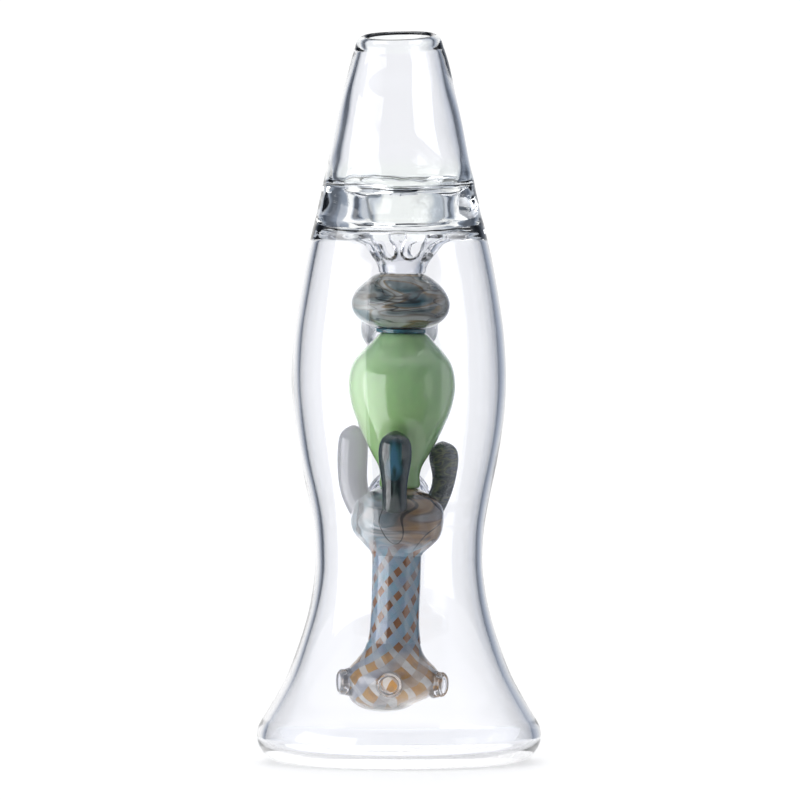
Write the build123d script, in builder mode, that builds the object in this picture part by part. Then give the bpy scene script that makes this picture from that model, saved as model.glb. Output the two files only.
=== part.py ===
from build123d import *
import os
from math import cos, radians, sin

# Clear glass water pipe with the outline of a lava lamp.  Millimetres, +Z up.
# The origin is the centre of the flat underside.  The front faces -Y and the inlet is at +Y.
# Heights are measured from the underside.  Radii of the vessel are measured from the Z axis,
# and radii of the hanging column from the column's own axis, which leans a little.

# --- Clear vessel -----------------------------------------------------------------------
overall_height = 200.0
foot_radius = 39.2
foot_edge_radius = 7.3
floor_thickness = 3.4
flare_angle = 33.5
waist_height = 56.0
waist_radius = 23.1
bulge_height = 106.0
bulge_radius = 29.6
shoulder_height = 147.0
shoulder_radius = 23.6
shoulder_slope = 0.27
vessel_wall = 2.3

divider_thickness = 10.0
divider_top_radius = 21.3
divider_belly = 0.3
drain_radius = 10.5

lip_radius = 12.0
lip_opening_radius = 9.2
lip_height = 3.4
lip_wall = 1.6
lip_inner_drop = 1.0
mouth_wall = 2.8
mouth_belly = 0.4
weld_height = 4.0
weld_top_step = 1.0
weld_swell = 0.8
weld_swell_height = 1.6
weld_foot_step = 2.8

# --- Hanging column ---------------------------------------------------------------------
column_lean = 1.1
column_foot_shift = -2.05

funnel_top_radius = 14.2
funnel_neck_radius = 6.5
funnel_neck_height = 137.0
funnel_wall = 1.9
funnel_neck_round = 2.0
funnel_inner_drop = 0.8
vent_count = 8
vent_width = 4.8
vent_depth = 8.2
vent_turn = -29.0

knob_top = 134.4
knob_bottom = 119.4
knob_radius = 13.3
knob_roundness = 8.6
knob_neck_radius = 6.6
band_height = 1.4
band_radius = 6.8
bulb_bottom = 75.6
bulb_radius = 14.3
bulb_belly_height = 104.0
bulb_throat_radius = 5.6
bulb_throat_height = 79.5
bulb_lower_share = 0.66
bulb_lower_rise = 0.36
bulb_upper_share = 0.86
bulb_upper_rise = 0.53

collar_bottom = 57.0
collar_belly_height = 67.5
collar_radius = 12.5
collar_wall = 2.2
collar_crown = 3.2
stem_bottom = 32.5
stem_radius = 6.7
stem_wall = 2.2
diffuser_bottom = 12.5
diffuser_belly_height = 22.5
diffuser_radius = 12.9
diffuser_wall = 2.0

port_count = 5
port_radius = 3.4
port_bore_radius = 1.95
port_height = 21.5
port_reach = 15.2
port_turn = -4.0
port_edge_round = 0.4

# --- Fingers: turn from +X, tip height, tip radius, how far out the tip stands -----------
fingers = {
    "finger_front": (-93.0, 91.6, 4.2, 15.0),
    "finger_left": (150.0, 92.4, 3.65, 14.4),
    "finger_right": (30.0, 87.6, 3.65, 14.9),
}
finger_root_height = 69.0
finger_root_inset = 2.3
finger_slimming = 0.78
finger_slim_share = 0.35
finger_full_share = 0.95
finger_tip_width = 0.75
finger_tip_rise = 0.66

# --- Inlet ------------------------------------------------------------------------------
inlet_height = 69.5
bridge_radius = 5.0
bridge_bore_radius = 3.2
seal_radius = 6.6
seal_bead_radius = 10.5
seal_bead_length = 3.6
seal_inner_stand = 1.0
seal_plug_short = 1.0
inlet_radius = 6.25
inlet_bore_radius = 4.0
inlet_tilt = 25.0
inlet_bend_radius = 10.5
inlet_run = 38.0
socket_radius = 12.2
socket_shoulder = 8.0
socket_barrel = 12.0
joint_bore = 18.8
joint_taper = 10.0
joint_depth = 15.0
rim_round = 1.2

# --- Working allowances: the gap in a hole, and how far a cutting shape runs past a face --
fit_clearance = 0.02
overshoot = 1.0

os.makedirs("parts", exist_ok=True)


def save(part, name):
    """Label a finished piece and write it to its own file."""
    part.label = name
    export_step(part, f"parts/{name}.step")


# The column's axis leans towards +X going up.  Its sketches are drawn on this plane, with
# the radius along local X and the height along local Y.
lean = radians(column_lean)
column = Plane(
    origin=(column_foot_shift, 0, 0),
    x_dir=(cos(lean), 0, -sin(lean)),
    z_dir=(0, -1, 0),
)
column_axis = Axis(column.origin, column.y_dir)


def on_column(height, turn=0.0):
    """A plane square to the column at a height, with its local X turned about the column."""
    place = Plane(column.from_local_coords((0, height, 0)), x_dir=column.x_dir, z_dir=column.y_dir)
    return place.rotated((0, 0, turn))


divider_top = shoulder_height + divider_thickness
shoulder_run = (-shoulder_slope, 1.0)


def wall_line(inset):
    """The vessel's side from the top of the foot edge to the shoulder, moved in by inset."""
    length = (1 + shoulder_slope**2) ** 0.5
    edge = JernArc(
        start=(foot_radius - inset, foot_edge_radius),
        tangent=(0, 1),
        radius=foot_edge_radius - inset,
        arc_size=flare_angle,
    )
    return Spline(
        edge @ 1,
        (waist_radius - inset, waist_height),
        (bulge_radius - inset, bulge_height),
        (shoulder_radius - inset * length, shoulder_height),
        tangents=[edge % 1, (0, 1), (0, 1), shoulder_run],
    )


# --- Foot plate: flat floor with a rounded outer edge --------------------------------------
rim_inner_radius = foot_radius - vessel_wall
floor_corner_radius = foot_edge_radius - floor_thickness
with BuildPart() as foot_plate:
    with BuildSketch(Plane.XZ):
        with BuildLine():
            Line((0, 0), (foot_radius - foot_edge_radius, 0))
            JernArc((foot_radius - foot_edge_radius, 0), (1, 0), foot_edge_radius, 90)
            Line((foot_radius, foot_edge_radius), (rim_inner_radius, foot_edge_radius))
            JernArc((rim_inner_radius, foot_edge_radius), (0, -1), floor_corner_radius, -90)
            Line((rim_inner_radius - floor_corner_radius, floor_thickness), (0, floor_thickness))
            Line((0, floor_thickness), (0, 0))
        make_face()
    revolve(axis=Axis.Z)

# --- Filled vessel: used to trim what stands against the outside of the wall ---------------
with BuildPart() as filled_vessel:
    with BuildSketch(Plane.XZ):
        with BuildLine():
            side = wall_line(0)
            Line(side @ 1, (0, shoulder_height))
            Line((0, shoulder_height), (0, foot_edge_radius))
            Line((0, foot_edge_radius), (foot_radius, foot_edge_radius))
        make_face()
    revolve(axis=Axis.Z)

# --- Body shell: flare, waist and bulge, with a hole for the wall seal ---------------------
with BuildPart() as body_shell:
    with BuildSketch(Plane.XZ):
        with BuildLine():
            outer_side = wall_line(0)
            inner_side = wall_line(vessel_wall)
            Line(outer_side @ 1, inner_side @ 1)
            Line((rim_inner_radius, foot_edge_radius), (foot_radius, foot_edge_radius))
        make_face()
    revolve(axis=Axis.Z)
    with BuildSketch(Plane.XZ):
        with Locations((0, inlet_height)):
            Circle(seal_radius + fit_clearance)
    extrude(amount=-foot_radius, mode=Mode.SUBTRACT)

# --- Divider disc: thick ring; its drain runs down into the funnel -------------------------
funnel_mouth_radius = funnel_top_radius - funnel_wall
with BuildPart() as divider_disc:
    with BuildSketch(Plane.XZ):
        with BuildLine():
            middle_radius = (shoulder_radius + divider_top_radius) / 2 + divider_belly
            ThreePointArc(
                (shoulder_radius, shoulder_height),
                (middle_radius, shoulder_height + divider_thickness / 2),
                (divider_top_radius, divider_top),
            )
            Line((divider_top_radius, divider_top), (0, divider_top))
            Line((0, divider_top), (0, shoulder_height))
            Line((0, shoulder_height), (shoulder_radius, shoulder_height))
        make_face()
    revolve(axis=Axis.Z)
    with BuildSketch(column):
        with BuildLine():
            Polyline(
                (0, shoulder_height - overshoot),
                (funnel_mouth_radius, shoulder_height - overshoot),
                (funnel_mouth_radius, shoulder_height),
                (drain_radius, divider_top),
                (drain_radius, divider_top + overshoot),
                (0, divider_top + overshoot),
                close=True,
            )
        make_face()
    revolve(axis=column_axis, mode=Mode.SUBTRACT)

# --- Mouthpiece: hollow cone with a thick weld at its foot and a rolled lip ----------------
lip_start = overall_height - lip_height
with BuildPart() as mouthpiece:
    with BuildSketch(Plane.XZ):
        with BuildLine():
            cone_middle = (divider_top + lip_start) / 2
            cone_middle_radius = (divider_top_radius + lip_radius) / 2 + mouth_belly
            outer_cone = ThreePointArc(
                (divider_top_radius, divider_top),
                (cone_middle_radius, cone_middle),
                (lip_radius, lip_start),
            )
            lip_top = Spline(
                outer_cone @ 1,
                ((lip_radius + lip_opening_radius) / 2, overall_height),
                (lip_opening_radius, overall_height - lip_inner_drop),
                (lip_radius - lip_wall, lip_start),
                tangents=[outer_cone % 1, (-1, 0), (0, -1), (0.3, -1)],
            )
            weld_top_radius = divider_top_radius - mouth_wall - weld_top_step
            inner_cone = Line(lip_top @ 1, (weld_top_radius, divider_top + weld_height))
            weld = ThreePointArc(
                inner_cone @ 1,
                (weld_top_radius - weld_swell, divider_top + weld_swell_height),
                (weld_top_radius - weld_foot_step, divider_top),
            )
            Line(weld @ 1, (divider_top_radius, divider_top))
        make_face()
    revolve(axis=Axis.Z)

# --- Vent funnel: clear cone under the divider, notched from its top edge ------------------
cone_run = (funnel_top_radius - funnel_neck_radius) / (shoulder_height - funnel_neck_height)
with BuildPart() as vent_funnel:
    with BuildSketch(column):
        with BuildLine():
            top = shoulder_height + overshoot
            outer_top = funnel_top_radius + cone_run * overshoot
            Polyline(
                (funnel_neck_radius, knob_top),
                (funnel_neck_radius, funnel_neck_height),
                (outer_top, top),
                (outer_top - funnel_wall, top),
                (funnel_neck_radius - funnel_wall, funnel_neck_height - funnel_inner_drop),
                (funnel_neck_radius - funnel_wall, knob_top),
                close=True,
            )
        make_face()
        neck_corners = vertices().sort_by(Axis.Y)[2:4]
        fillet(neck_corners, radius=funnel_neck_round)
    revolve(axis=column_axis)
    split(bisect_by=Plane.XY.offset(shoulder_height), keep=Keep.BOTTOM)
    for step in range(vent_count):
        turn = vent_turn - 90 + step * 360 / vent_count
        across = on_column(shoulder_height, turn)
        facing = Plane(across.origin, x_dir=across.y_dir, z_dir=across.x_dir)
        with BuildSketch(facing):
            with Locations((0, -(vent_depth - vent_width / 2) / 2)):
                Rectangle(vent_width, vent_depth - vent_width / 2)
            with Locations((0, -(vent_depth - vent_width / 2))):
                Circle(vent_width / 2)
        extrude(amount=funnel_top_radius * 2, mode=Mode.SUBTRACT)

# --- Knob: flattened solid bead --------------------------------------------------------------
knob_middle = (knob_top + knob_bottom) / 2
with BuildPart() as knob:
    with BuildSketch(column):
        with Locations((0, knob_middle)):
            Ellipse(knob_radius, knob_roundness)
        with Locations((0, knob_middle)):
            Rectangle(2 * knob_neck_radius, knob_top - knob_bottom)
        with Locations((0, knob_middle)):
            Rectangle(4 * knob_radius, knob_top - knob_bottom, mode=Mode.INTERSECT)
        with Locations((-knob_radius, knob_middle)):
            Rectangle(2 * knob_radius, 4 * knob_radius, mode=Mode.SUBTRACT)
    revolve(axis=column_axis)

# --- Neck band: thin ring of colour between knob and bulb ------------------------------------
bulb_top = knob_bottom - band_height
with BuildPart() as neck_band:
    with BuildSketch(on_column(bulb_top)):
        Circle(band_radius)
    extrude(amount=band_height)

# --- Bulb: teardrop with a narrow throat ------------------------------------------------------
with BuildPart() as bulb:
    with BuildSketch(column):
        with BuildLine():
            throat = (bulb_throat_radius, bulb_throat_height)
            below_belly = bulb_belly_height - bulb_throat_height
            above_belly = bulb_top - bulb_belly_height
            lower_height = bulb_throat_height + bulb_lower_rise * below_belly
            upper_height = bulb_belly_height + bulb_upper_rise * above_belly
            teardrop = Spline(
                throat,
                (bulb_radius * bulb_lower_share, lower_height),
                (bulb_radius, bulb_belly_height),
                (bulb_radius * bulb_upper_share, upper_height),
                (band_radius, bulb_top),
                tangents=[(0.05, 1), (0.45, 0.9), (0, 1), (-0.6, 0.8), (-0.45, 1)],
            )
            Line(teardrop @ 1, (0, bulb_top))
            Line((0, bulb_top), (0, bulb_bottom))
            Line((0, bulb_bottom), (bulb_throat_radius, bulb_bottom))
            Line((bulb_throat_radius, bulb_bottom), throat)
        make_face()
    revolve(axis=column_axis)

# --- Collar: hollow bead; its cavity joins the bridge and the stem ---------------------------
stem_bore_radius = stem_radius - stem_wall
with BuildPart() as filled_collar:
    with BuildSketch(column):
        with BuildLine():
            crown = (bulb_throat_radius, bulb_bottom)
            swell = Spline(
                (stem_radius, collar_bottom),
                (collar_radius, collar_belly_height),
                crown,
                tangents=[(0.35, 1), (0, 1), (-1, 0.1)],
            )
            Line(crown, (0, bulb_bottom))
            Line((0, bulb_bottom), (0, collar_bottom))
            Line((0, collar_bottom), (stem_radius, collar_bottom))
        make_face()
    revolve(axis=column_axis)

with BuildPart() as collar:
    add(filled_collar.part)
    with BuildSketch(column):
        with BuildLine():
            cavity_top = bulb_bottom - collar_crown
            hollow = Spline(
                (stem_bore_radius, collar_bottom),
                (collar_radius - collar_wall, collar_belly_height),
                (0, cavity_top),
                tangents=[(0.35, 1), (0, 1), (-1, 0)],
            )
            Line((0, cavity_top), (0, collar_bottom))
            Line((0, collar_bottom), (stem_bore_radius, collar_bottom))
        make_face()
    revolve(axis=column_axis, mode=Mode.SUBTRACT)
    with BuildSketch(Plane.XZ):
        with Locations((0, inlet_height)):
            Circle(bridge_bore_radius)
    extrude(amount=-2 * collar_radius, mode=Mode.SUBTRACT)

# --- Fingers: solid drips, slimmer at the root, trimmed to the collar's shoulder --------------
finger_parts = {}
finger_root_out = collar_radius - finger_root_inset
for name, (turn, tip_height, tip_radius, tip_out) in fingers.items():
    root = on_column(finger_root_height, turn)
    rise = tip_height - tip_radius - finger_root_height
    run = tip_out - finger_root_out
    length = (rise**2 + run**2) ** 0.5
    upward = root.z_dir * (rise / length) + root.x_dir * (run / length)
    outward = root.x_dir * (rise / length) - root.z_dir * (run / length)
    start = root.origin + root.x_dir * finger_root_out
    drip = Plane(start, x_dir=outward, z_dir=outward.cross(upward))
    root_radius = tip_radius * finger_slimming
    with BuildPart() as finger:
        with BuildSketch(drip):
            with BuildLine():
                Line((0, 0), (root_radius, 0))
                body = Spline(
                    (root_radius, 0),
                    (root_radius, length * finger_slim_share),
                    (tip_radius, length * finger_full_share),
                    (tip_radius * finger_tip_width, length + tip_radius * finger_tip_rise),
                    (0, length + tip_radius),
                    tangents=[(0, 1), (0, 1), (0, 1), (-0.66, 0.75), (-1, 0)],
                )
                Line(body @ 1, (0, 0))
            make_face()
        revolve(axis=Axis(drip.origin, drip.y_dir))
        add(filled_collar.part, mode=Mode.SUBTRACT)
    finger_parts[name] = finger.part

# --- Stem: straight tube ----------------------------------------------------------------------
with BuildPart() as stem:
    with BuildSketch(on_column(stem_bottom)):
        Circle(stem_radius)
        Circle(stem_bore_radius, mode=Mode.SUBTRACT)
    extrude(amount=collar_bottom - stem_bottom)

# --- Diffuser: hollow end bulb with a hole for each port --------------------------------------
with BuildPart() as diffuser:
    with BuildSketch(column):
        with BuildLine():
            skirt = Spline(
                (stem_radius, stem_bottom),
                (diffuser_radius, diffuser_belly_height),
                (0, diffuser_bottom),
                tangents=[(0.25, -1), (0.05, -1), (-1, -0.12)],
            )
            inner_skirt = Spline(
                (stem_bore_radius, stem_bottom),
                (diffuser_radius - diffuser_wall, diffuser_belly_height),
                (0, diffuser_bottom + diffuser_wall),
                tangents=[(0.25, -1), (0.05, -1), (-1, -0.12)],
            )
            Line(skirt @ 0, inner_skirt @ 0)
            Line(skirt @ 1, inner_skirt @ 1)
        make_face()
    revolve(axis=column_axis)
    for step in range(port_count):
        turn = port_turn - 90 + step * 360 / port_count
        across = on_column(port_height, turn)
        facing = Plane(across.origin, x_dir=across.y_dir, z_dir=across.x_dir)
        with BuildSketch(facing):
            Circle(port_radius + fit_clearance)
        extrude(amount=2 * diffuser_radius, mode=Mode.SUBTRACT)

# --- Ports: short clear tubes through the diffuser's wall -------------------------------------
port_inner_end = diffuser_radius - 2 * diffuser_wall
port_parts = []
for step in range(port_count):
    turn = port_turn - 90 + step * 360 / port_count
    across = on_column(port_height, turn)
    mouth = across.origin + across.x_dir * port_inner_end
    with BuildPart() as port:
        with BuildSketch(Plane(mouth, x_dir=across.y_dir, z_dir=across.x_dir)):
            Circle(port_radius)
            Circle(port_bore_radius, mode=Mode.SUBTRACT)
        extrude(amount=port_reach - port_inner_end)
        tips = edges().filter_by(GeomType.CIRCLE).sort_by(Axis(mouth, across.x_dir))[-2:]
        fillet(tips, radius=port_edge_round)
    port_parts.append(port.part)

# --- Wall seal: plug through the shell, with a weld bead outside ------------------------------
inlet_axis = Axis((0, 0, inlet_height), (0, 1, 0))
hits = filled_vessel.part.find_intersection_points(inlet_axis)
wall_outside = max(point.Y for point, normal in hits)
seal_edge_drop = wall_outside - (wall_outside**2 - seal_radius**2) ** 0.5
seal_inside = wall_outside - vessel_wall - seal_edge_drop - seal_inner_stand
seal_outside = wall_outside + seal_bead_length
with BuildPart() as wall_seal:
    with BuildSketch(Plane.XZ.offset(-(wall_outside - 3 * vessel_wall))):
        with Locations((0, inlet_height)):
            Circle(seal_bead_radius)
    with BuildSketch(Plane.XZ.offset(-seal_outside)):
        with Locations((0, inlet_height)):
            Circle(inlet_radius)
    loft()
    add(filled_vessel.part, mode=Mode.SUBTRACT)
    with BuildSketch(Plane.XZ.offset(-seal_inside)):
        with Locations((0, inlet_height)):
            Circle(seal_radius)
    extrude(amount=-(seal_outside - seal_plug_short - seal_inside))
    with BuildSketch(Plane.XZ.offset(-seal_inside)):
        with Locations((0, inlet_height)):
            Circle(bridge_bore_radius)
    extrude(amount=-(seal_outside - seal_inside), mode=Mode.SUBTRACT)

# --- Bridge tube: from the collar to the wall seal ---------------------------------------------
with BuildPart() as bridge_tube:
    with BuildSketch(Plane.XZ):
        with Locations((0, inlet_height)):
            Circle(bridge_radius)
            Circle(bridge_bore_radius, mode=Mode.SUBTRACT)
    extrude(amount=-seal_inside)
    add(filled_collar.part, mode=Mode.SUBTRACT)

# --- Inlet tube: leaves the seal level and turns up behind the vessel --------------------------
bend = 90 - inlet_tilt
with BuildPart() as inlet_tube:
    with BuildLine(Plane.YZ):
        elbow = JernArc((seal_outside, inlet_height), (1, 0), inlet_bend_radius, bend)
        riser = Line(elbow @ 1, (elbow @ 1) + (elbow % 1) * inlet_run)
    with BuildSketch(Plane.XZ.offset(-seal_outside)):
        with Locations((0, inlet_height)):
            Circle(inlet_radius)
            Circle(inlet_bore_radius, mode=Mode.SUBTRACT)
    sweep()

# --- Inlet socket: flared end with a short tapered ground bore ---------------------------------
socket_foot = Vector(riser @ 1)
socket_up = Vector(riser % 1)
socket_plane = Plane(socket_foot, x_dir=(1, 0, 0), z_dir=Vector(1, 0, 0).cross(socket_up))
socket_length = socket_shoulder + socket_barrel
joint_floor_radius = (joint_bore - joint_depth / joint_taper) / 2
with BuildPart() as inlet_socket:
    with BuildSketch(socket_plane):
        with BuildLine():
            flare = Spline(
                (inlet_radius, 0),
                (socket_radius, socket_shoulder),
                tangents=[(0.2, 1), (0.1, 1)],
            )
            Polyline(
                flare @ 1,
                (socket_radius, socket_length),
                (joint_bore / 2, socket_length),
                (joint_floor_radius, socket_length - joint_depth),
                (inlet_bore_radius, socket_length - joint_depth),
                (inlet_bore_radius, 0),
                (inlet_radius, 0),
            )
        make_face()
    revolve(axis=Axis(socket_foot, socket_up))
    rim = edges().filter_by(GeomType.CIRCLE).sort_by(Axis(socket_foot, socket_up))[-2:]
    fillet(rim.sort_by(SortBy.RADIUS)[-1], radius=rim_round)

# --- Write every piece -------------------------------------------------------------------------
save(foot_plate.part, "foot_plate")
save(body_shell.part, "body_shell")
save(divider_disc.part, "divider_disc")
save(mouthpiece.part, "mouthpiece")
save(vent_funnel.part, "vent_funnel")
save(knob.part, "knob")
save(neck_band.part, "neck_band")
save(bulb.part, "bulb")
save(collar.part, "collar")
for name, part in finger_parts.items():
    save(part, name)
save(stem.part, "stem")
save(diffuser.part, "diffuser")
for number, part in enumerate(port_parts, start=1):
    save(part, f"port_{number}")
save(wall_seal.part, "wall_seal")
save(bridge_tube.part, "bridge_tube")
save(inlet_tube.part, "inlet_tube")
save(inlet_socket.part, "inlet_socket")
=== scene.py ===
import math

import bpy
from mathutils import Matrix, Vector


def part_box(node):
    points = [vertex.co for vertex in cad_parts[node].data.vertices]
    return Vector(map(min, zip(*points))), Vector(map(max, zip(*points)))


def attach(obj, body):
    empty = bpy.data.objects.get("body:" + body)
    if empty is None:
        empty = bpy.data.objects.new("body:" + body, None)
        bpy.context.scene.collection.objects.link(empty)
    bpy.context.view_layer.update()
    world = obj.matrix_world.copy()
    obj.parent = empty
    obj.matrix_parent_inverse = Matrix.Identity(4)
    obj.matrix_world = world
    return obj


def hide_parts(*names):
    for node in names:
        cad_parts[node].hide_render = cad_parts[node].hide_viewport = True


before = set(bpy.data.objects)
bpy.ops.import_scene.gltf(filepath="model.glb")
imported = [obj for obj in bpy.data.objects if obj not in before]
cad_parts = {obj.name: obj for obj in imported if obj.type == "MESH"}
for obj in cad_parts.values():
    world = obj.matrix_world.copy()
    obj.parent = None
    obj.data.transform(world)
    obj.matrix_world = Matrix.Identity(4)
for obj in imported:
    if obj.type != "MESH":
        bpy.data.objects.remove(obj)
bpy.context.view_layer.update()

# ---- Camera ------------------------------------------------------------------------------
# A long lens three metres back and a little above the lip, square on to the front, so the
# pipe stands nearly without perspective.
eye_back = 3.0
eye_aside = 0.0003
eye_height = 0.212
look_height = 0.0996
view_height = 0.22
sensor = 36.0

bpy.ops.object.select_all(action="DESELECT")
bpy.ops.object.camera_add(location=(eye_aside, -eye_back, eye_height))
camera = bpy.context.object
camera.name = "camera"
look_down = math.atan2(eye_height - look_height, eye_back)
camera.rotation_euler = (math.pi / 2 - look_down, 0, 0)
camera.data.sensor_width = sensor
camera.data.lens = sensor * eye_back / view_height
camera.data.clip_end = 20
bpy.context.scene.camera = camera
bpy.context.scene.view_settings.view_transform = "Standard"


# ---- Studio ------------------------------------------------------------------------------
# A white panel stands behind the pipe and falls off to grey at its sides, which is what draws
# the dark lines along the clear walls.  A tall softbox stands at the front left and a weaker
# one at the front right; the room is dark in front, and a broad soft light hangs overhead.
class Wire:
    """One socket of a node.  Sums and products of wires add Math nodes."""

    def __init__(self, tree, socket):
        self.tree = tree
        self.socket = socket

    def node(self, kind, settings, inputs, output=0):
        """A new node: its kind, its settings, then the values or wires of its inputs."""
        made = self.tree.nodes.new("ShaderNode" + kind)
        for name, value in settings.items():
            if name == "stops":
                ramp = made.color_ramp.elements
                while len(ramp) < len(value):
                    ramp.new(0.5)
                for stop, (place, colour) in zip(ramp, value):
                    stop.position = place
                    stop.color = (*colour, 1)
            else:
                setattr(made, name, value)
        for name, value in inputs.items():
            if isinstance(value, Wire):
                self.tree.links.new(value.socket, made.inputs[name])
            else:
                made.inputs[name].default_value = value
        return Wire(self.tree, made.outputs[output])

    def maths(self, operation, *values):
        return self.node("Math", {"operation": operation}, dict(enumerate(values)))

    def __add__(self, other):
        return self.maths("ADD", self, other)

    def __sub__(self, other):
        return self.maths("SUBTRACT", self, other)

    def __rsub__(self, other):
        return self.maths("SUBTRACT", other, self)

    def __mul__(self, other):
        return self.maths("MULTIPLY", self, other)

    __radd__ = __add__
    __rmul__ = __mul__

    def between(self, low, high):
        """0 below low, 1 above high, and smooth in between."""
        settings = {"interpolation_type": "SMOOTHSTEP"}
        return self.node("MapRange", settings, {"Value": self, "From Min": low, "From Max": high})

    def part(self, name):
        """One of X, Y and Z of a place."""
        return self.node("SeparateXYZ", {}, {0: self}, name)


studio = bpy.data.worlds.new("studio")
studio.use_nodes = True
bpy.context.scene.world = studio
sky = Wire(studio.node_tree, studio.node_tree.nodes.new("ShaderNodeTexCoord").outputs["Generated"])
to_degrees = 180 / math.pi
behind = sky.maths("ARCTAN2", sky.part("X"), sky.part("Y")) * to_degrees
up = sky.part("Z")

# The panel fades slowly to the right and later, but faster, to the left.  Beyond it the room's
# walls are light at the two sides and dark in front.
panel_light = 1.08
side_light = 0.62
front_light = 0.08
fade_right = 1 - 0.9 * behind.node(
    "MapRange", {"interpolation_type": "LINEAR"},
    {"Value": behind, "From Min": 2.0, "From Max": 42.0},
)
fade_left = 1 - 0.92 * (0 - behind).between(19, 40)
panel = panel_light * fade_right * fade_left
off_behind = behind.maths("ABSOLUTE", behind)
sides = off_behind.between(50, 64)
front = off_behind.between(108, 128)
panel = panel * (1 - sides) + side_light * sides - (side_light - front_light) * front

# Softboxes: where round the front each one starts and ends, between which heights it hangs
# and how bright it is.
ahead = sky.maths("ARCTAN2", sky.part("X"), 0 - sky.part("Y")) * to_degrees
for left, right, low, high, power in ((-92, -37, -0.9, 0.34, 3.4), (48, 66, -0.3, 0.3, 0.9)):
    softbox = ahead.between(left - 1, left) * (1 - ahead.between(right, right + 1))
    softbox = softbox * up.between(low - 0.03, low) * (1 - up.between(high, high + 0.02))
    panel = panel + power * softbox

# Above head height all of it passes softly into the overhead light.
overhead_light = 1.1
upper = up.between(0.5, 0.95)
light = panel * (1 - upper) + overhead_light * upper
tint = light.node(
    "Mix", {"data_type": "RGBA"},
    {0: light.between(0.1, 0.95), 6: (0.85, 1.0, 1.28, 1), 7: (1, 1, 1, 1)}, 2,
)
background = studio.node_tree.nodes["Background"]
studio.node_tree.links.new(tint.socket, background.inputs["Color"])
studio.node_tree.links.new(light.socket, background.inputs["Strength"])

# The floor is a round sheet of white acrylic, lit a little from below.
floor_radius = 0.11
bpy.ops.mesh.primitive_circle_add(vertices=128, radius=floor_radius, fill_type="NGON")
floor = bpy.context.object
floor.name = "floor"
floor_paint = bpy.data.materials.new("floor_white")
floor_paint.use_nodes = True
floor_shader = floor_paint.node_tree.nodes["Principled BSDF"]
floor_shader.inputs["Base Color"].default_value = (0.72, 0.72, 0.72, 1)
floor_shader.inputs["Roughness"].default_value = 0.6
floor_shader.inputs["Emission Color"].default_value = (1, 1, 1, 1)
floor_shader.inputs["Emission Strength"].default_value = 0.5
floor.data.materials.append(floor_paint)


# ---- Vessel ------------------------------------------------------------------------------
# The clear skin of borosilicate glass: a thick foot, the blown wall with its waist and bulge,
# the solid divider and the mouthpiece cone, all fused into one on the lathe.
mm = 0.001


def smooth_run(points, pieces=8):
    """Points along a smooth line that passes through the given (radius, height) points."""
    count = len(points)
    gaps = [math.dist(a, b) for a, b in zip(points, points[1:])]
    heading = []
    for i in range(count):
        before, after = max(i - 1, 0), min(i + 1, count - 1)
        span = sum(gaps[before:after])
        heading.append([(points[after][k] - points[before][k]) / span for k in (0, 1)])
    run = []
    for i, gap in enumerate(gaps):
        for step in range(pieces):
            t = step / pieces
            from_start, from_end = (1 + 2 * t) * (1 - t) ** 2, t * t * (3 - 2 * t)
            pull_start, pull_end = t * (1 - t) ** 2 * gap, t * t * (t - 1) * gap
            run.append(tuple(
                from_start * points[i][k] + from_end * points[i + 1][k]
                + pull_start * heading[i][k] + pull_end * heading[i + 1][k]
                for k in (0, 1)
            ))
    run.append(tuple(points[-1]))
    return run


def arc(centre, radius, start, end, pieces=8):
    """Points along a round corner, with its angles in degrees from straight out."""
    angles = [math.radians(start + (end - start) * step / pieces) for step in range(pieces + 1)]
    return [(centre[0] + radius * math.cos(a), centre[1] + radius * math.sin(a)) for a in angles]


def moved_in(points, wall):
    """The line moved sideways by the wall, to its left hand."""
    moved = []
    for i, (radius, height) in enumerate(points):
        ahead, behind = points[min(i + 1, len(points) - 1)], points[max(i - 1, 0)]
        run, rise = ahead[0] - behind[0], ahead[1] - behind[1]
        length = math.hypot(run, rise)
        moved.append((radius - wall * rise / length, height + wall * run / length))
    return moved


def edit(piece, chosen=None):
    """Opens one piece for editing, with all of it selected or only its chosen corners."""
    bpy.ops.object.select_all(action="DESELECT")
    piece.select_set(True)
    bpy.context.view_layer.objects.active = piece
    bpy.ops.object.mode_set(mode="EDIT")
    bpy.ops.mesh.select_mode(type="VERT")
    bpy.ops.mesh.select_all(action="SELECT" if chosen is None else "DESELECT")
    if chosen:
        bpy.ops.object.mode_set(mode="OBJECT")
        for corner in piece.data.vertices:
            corner.select = chosen(corner.co)
        bpy.ops.object.mode_set(mode="EDIT")


def smooth_off(piece, sharpest=50):
    """Closes an edit: the piece is shaded smooth, apart from corners sharper than this."""
    bpy.ops.object.mode_set(mode="OBJECT")
    bpy.ops.object.shade_smooth_by_angle(angle=math.radians(sharpest))
    return piece


def turned(name, outline, steps=160):
    """A piece turned on the lathe: the outline is drawn point by point, then spun round Z."""
    bpy.ops.object.select_all(action="DESELECT")
    bpy.ops.mesh.primitive_plane_add(size=mm, location=(0, 0, 0))
    piece = bpy.context.object
    piece.name = name
    edit(piece)
    bpy.ops.mesh.merge(type="CENTER")
    here = Vector((outline[0][0] * mm, 0, outline[0][1] * mm))
    bpy.ops.transform.translate(value=here)
    for radius, height in outline[1:]:
        there = Vector((radius * mm, 0, height * mm))
        bpy.ops.mesh.extrude_region_move(TRANSFORM_OT_translate={"value": there - here})
        here = there
    bpy.ops.mesh.select_all(action="SELECT")
    bpy.ops.mesh.spin(steps=steps, angle=2 * math.pi, center=(0, 0, 0), axis=(0, 0, 1))
    bpy.ops.mesh.select_all(action="SELECT")
    bpy.ops.mesh.remove_doubles(threshold=0.002 * mm)
    bpy.ops.mesh.normals_make_consistent(inside=False)
    return smooth_off(piece)


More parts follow.
